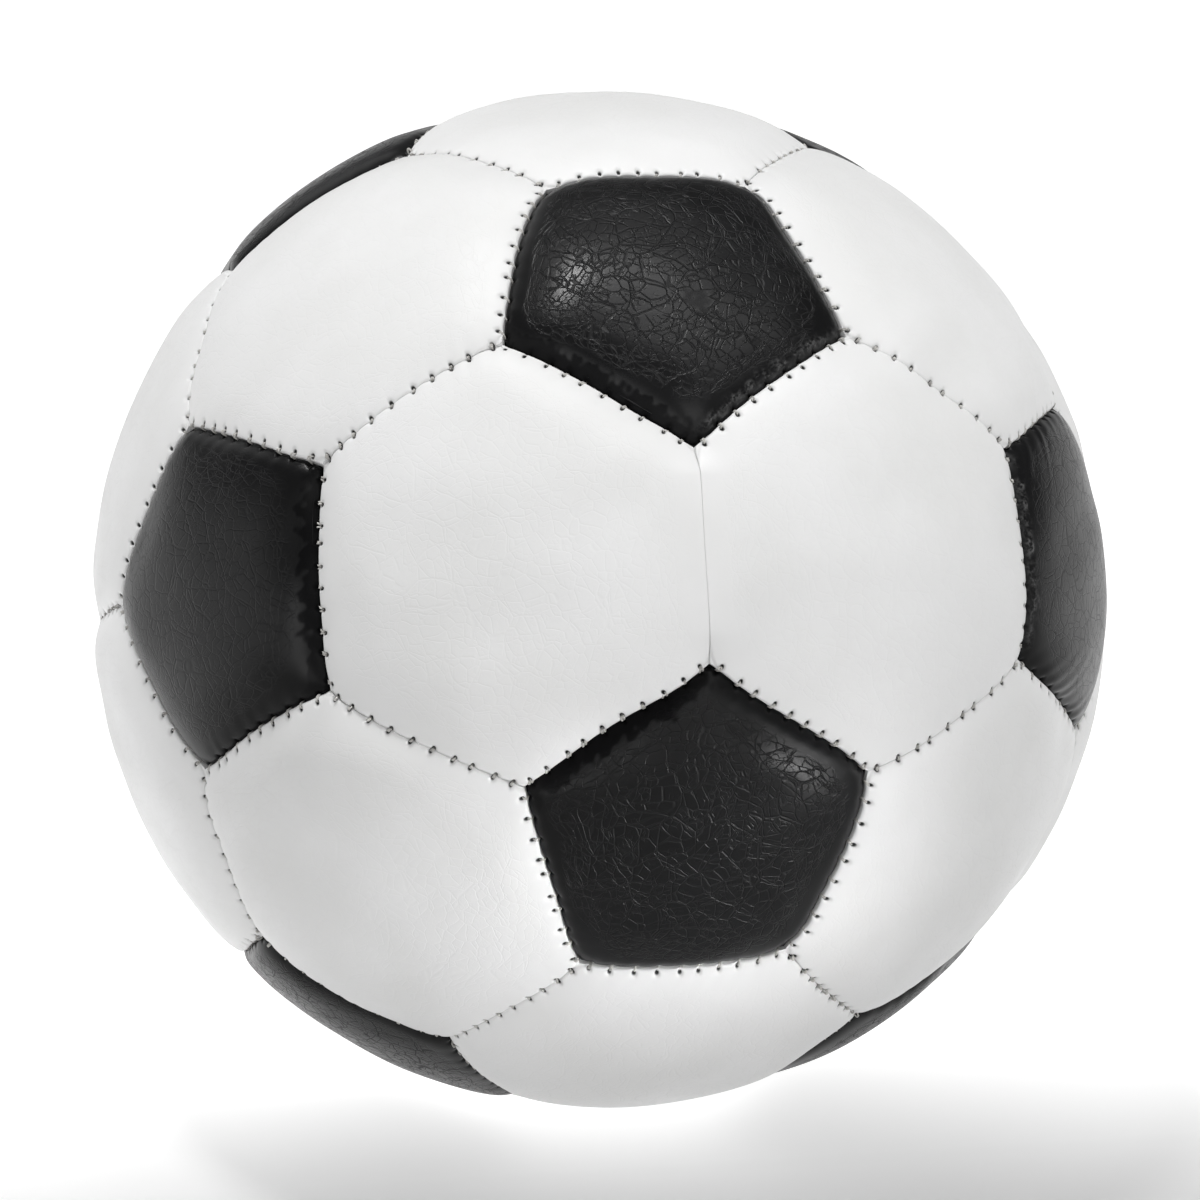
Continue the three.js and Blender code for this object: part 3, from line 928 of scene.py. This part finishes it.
def turned_piece(node, points, material):
    """A closed body from a grid whose profile starts and ends at the vertical axis."""
    rows, turns = points.shape[:2]
    numbers = np.arange(rows * turns).reshape(rows, turns)
    triangles = [band_triangles(high, low) for low, high in zip(numbers, numbers[1:])]
    start, end = np.full(turns, rows * turns), np.full(turns, rows * turns + 1)
    triangles.append(np.stack((start, np.roll(numbers[0], -1), numbers[0]), 1))
    triangles.append(np.stack((end, numbers[-1], np.roll(numbers[-1], -1)), 1))
    vertices = np.concatenate((points.reshape(-1, 3), [points[0].mean(0), points[-1].mean(0)]))
    piece = new_mesh(node + "_soft", vertices, np.concatenate(triangles), material)
    settle(piece, node)
    return piece


def settle(piece, node):
    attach(piece, BODY)
    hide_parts(node)


def build_lining(canvas):
    """The lining, sewn from gores with flat seams, and the round patch that closes its mouth."""
    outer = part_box("lining_bag")[1].x
    points, angles = turned([
        arc(outer, 179.7, MOUTH_ANGLE, 140),
        arc(outer - CLOTH, MOUTH_ANGLE, 179.7, 50),
    ], 480)
    from_seam = np.abs((angles * GORES / (2 * math.pi)) % 1 - 0.5) * 2 * math.pi / GORES
    across = from_seam * np.hypot(points[..., 0], points[..., 1])
    fell = smooth_step(FELL[1], FELL[0], across)
    creases = dents(0.35 * MM, 9 * MM, 34 * MM, 10, points)
    stitching = 0.2 * MM * np.exp(-((across - FELL_STITCHING) / (0.3 * MM)) ** 2)
    lining = turned_piece("lining_bag", sunk(points, (1 - fell) * creases + stitching), canvas)

    low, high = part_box("mouth_patch")
    edge = math.degrees(math.asin(high.x / high.z))
    points, angles = turned([arc(high.z - CLOTH, 0.4, edge, 40), arc(high.z, edge, 0.4, 90)], 360)
    turn = np.degrees(np.arctan2(np.hypot(points[..., 0], points[..., 1]), points[..., 2]))
    hem = smooth_step(edge - HEM[1], edge - HEM[0], turn)
    stitches = 0.5 + 0.5 * np.cos(HEM_STITCHES * angles)
    stitching = 0.25 * MM * np.exp(-((turn - edge + HEM_STITCHING) / 0.3) ** 2) * stitches
    creases = dents(0.3 * MM, 9 * MM, 30 * MM, 11, points)
    patch = turned_piece("mouth_patch", sunk(points, (1 - hem) * creases + stitching), canvas)
    across = 2 * high.z * math.radians(edge)


def build_filling():
    """Two halves of packed fibre, hollowed for the pouch."""
    fibre = loose_matter("packed_fibre", (0.5, 0.47, 0.42, 1), (0.2, 0.18, 0.16, 1), 1.5 * MM, 0.9 * MM)
    bore_angle = math.degrees(math.asin(BORE_RADIUS / RECESS_RADIUS))
    bore_foot = RECESS_RADIUS * math.cos(math.radians(bore_angle))
    upper = [
        line((0.5 * MM, BORE_TOP), (BORE_RADIUS, BORE_TOP), 8),
        line((BORE_RADIUS, BORE_TOP), (BORE_RADIUS, bore_foot), 12),
        arc(RECESS_RADIUS, bore_angle, 89.7, 30),
        line((RECESS_RADIUS, FILLING_SPLIT), (FILLING_RADIUS, FILLING_SPLIT), 40),
        arc(FILLING_RADIUS, 89.9, 0.3, 110),
    ]
    lower = [
        arc(FILLING_RADIUS, 179.7, 90.1, 110),
        line((FILLING_RADIUS, -FILLING_SPLIT), (RECESS_RADIUS, -FILLING_SPLIT), 40),
        arc(RECESS_RADIUS, 90.3, 179.7, 45),
    ]
    for node, profile, seed in (("filling_upper", upper, 12), ("filling_lower", lower, 13)):
        points, _ = turned(profile, 320)
        lumps = dents(0.9 * MM, 5 * MM, 26 * MM, seed, points)
        turned_piece(node, sunk(points, lumps), fibre)


def build_pouch(canvas):
    """The pouch, gathered at its neck, the sand in it, and the cord tied around the neck."""
    top_radius, top = NECK_TOP
    low, high = NECK_HEIGHT
    shoulder = math.radians(SHOULDER_ANGLE)
    inner = POUCH_RADIUS - CLOTH
    outer_shoulder = (POUCH_RADIUS * math.sin(shoulder), POUCH_RADIUS * math.cos(shoulder))
    inner_shoulder = (inner * math.sin(shoulder), inner * math.cos(shoulder))
    points, angles = turned([
        arc(POUCH_RADIUS, 179.3, SHOULDER_ANGLE, 80),
        line(outer_shoulder, (NECK_RADIUS, low), 12),
        line((NECK_RADIUS, low), (NECK_RADIUS, high), 6),
        line((NECK_RADIUS, high), (top_radius, top), 16),
        line((top_radius - CLOTH, top), (NECK_RADIUS - CLOTH, high), 16),
        line((NECK_RADIUS - CLOTH, high), (NECK_RADIUS - CLOTH, low), 6),
        line((NECK_RADIUS - CLOTH, low), inner_shoulder, 12),
        arc(inner, SHOULDER_ANGLE, 179.3, 50),
    ], 320)
    gathered = PLEAT_DEPTH * smooth_step(*PLEAT_START, points[..., 2])
    points[..., :2] *= (1 - gathered * (0.5 + 0.5 * np.cos(PLEATS * angles)))[..., None]
    turned_piece("sand_pouch", sunk(points, dents(0.3 * MM, 4 * MM, 15 * MM, 14, points)), canvas)

    sand = loose_matter("dry_sand", (0.56, 0.42, 0.25, 1), (0.24, 0.16, 0.09, 1), 0.5 * MM, 0.4 * MM)
    angle = math.radians(SAND_ANGLE)
    rim = (SAND_RADIUS * math.sin(angle), SAND_RADIUS * math.cos(angle))
    points, _ = turned([arc(SAND_RADIUS, 179.3, SAND_ANGLE, 80), line(rim, (0.3 * MM, rim[1]), 16)], 240)
    turned_piece("sand", sunk(points, dents(0.6 * MM, 3 * MM, 14 * MM, 15, points)), sand)

    cord = cloth("twisted_cord", (0.3, 0.2, 0.11, 1), (0.1, 0.06, 0.03, 1), 0.25 * MM, 0.1 * MM)
    around = np.linspace(0, 2 * math.pi, 700)
    strands = []
    for start in (0, math.pi):
        twist = TIE_TWISTS * around + start
        radius = TIE_RADIUS + 0.97 * STRAND_RADIUS * np.cos(twist)
        height = (low + high) / 2 + 0.97 * STRAND_RADIUS * np.sin(twist)
        strands.append(np.stack((radius * np.cos(around), radius * np.sin(around), height), 1))
    settle(tube_mesh("pouch_tie_strands", strands, STRAND_RADIUS, 12, cord), "pouch_tie")


def build_inside():
    canvas = cloth("lining_canvas", (0.56, 0.48, 0.36, 1), (0.3, 0.25, 0.18, 1), 0.6 * MM, 0.15 * MM)
    build_lining(canvas)
    build_filling()
    build_pouch(canvas)


add_camera()
add_world()
add_floor()
add_softbox("zenith_softbox", 60, 84, 1.3, (0.5, 0.36), 1.0, 110)
add_softbox("top_left_softbox", -85, 79, 1.3, (0.19, 0.17), 1.65, 90)
add_softbox("front_softbox", 4, 26, 1.5, (0.6, 0.5), 0.7, 100)
add_softbox("left_front_wall", -36, 8, 1.5, (0.9, 0.8), 1.0, 100)
add_softbox("left_wall", -85, 18, 1.5, (0.9, 0.8), 0.3, 100)
add_softbox("right_strip", 28, -11.5, 0.34, (0.08, 0.06), 0.013, 20, aim=(-0.012, -0.105, -0.032))
add_softbox("right_low_softbox", 46, 2, 1.1, (0.3, 0.26), 0.12, 50)
add_softbox("right_wall", 46, 60, 1.5, (0.9, 0.9), 1.65, 100)
add_softbox("back_wall", 215, 38, 1.5, (0.9, 0.9), 0.7, 120)
build_cover()
build_inside()

bpy.context.scene.view_settings.view_transform = "Standard"
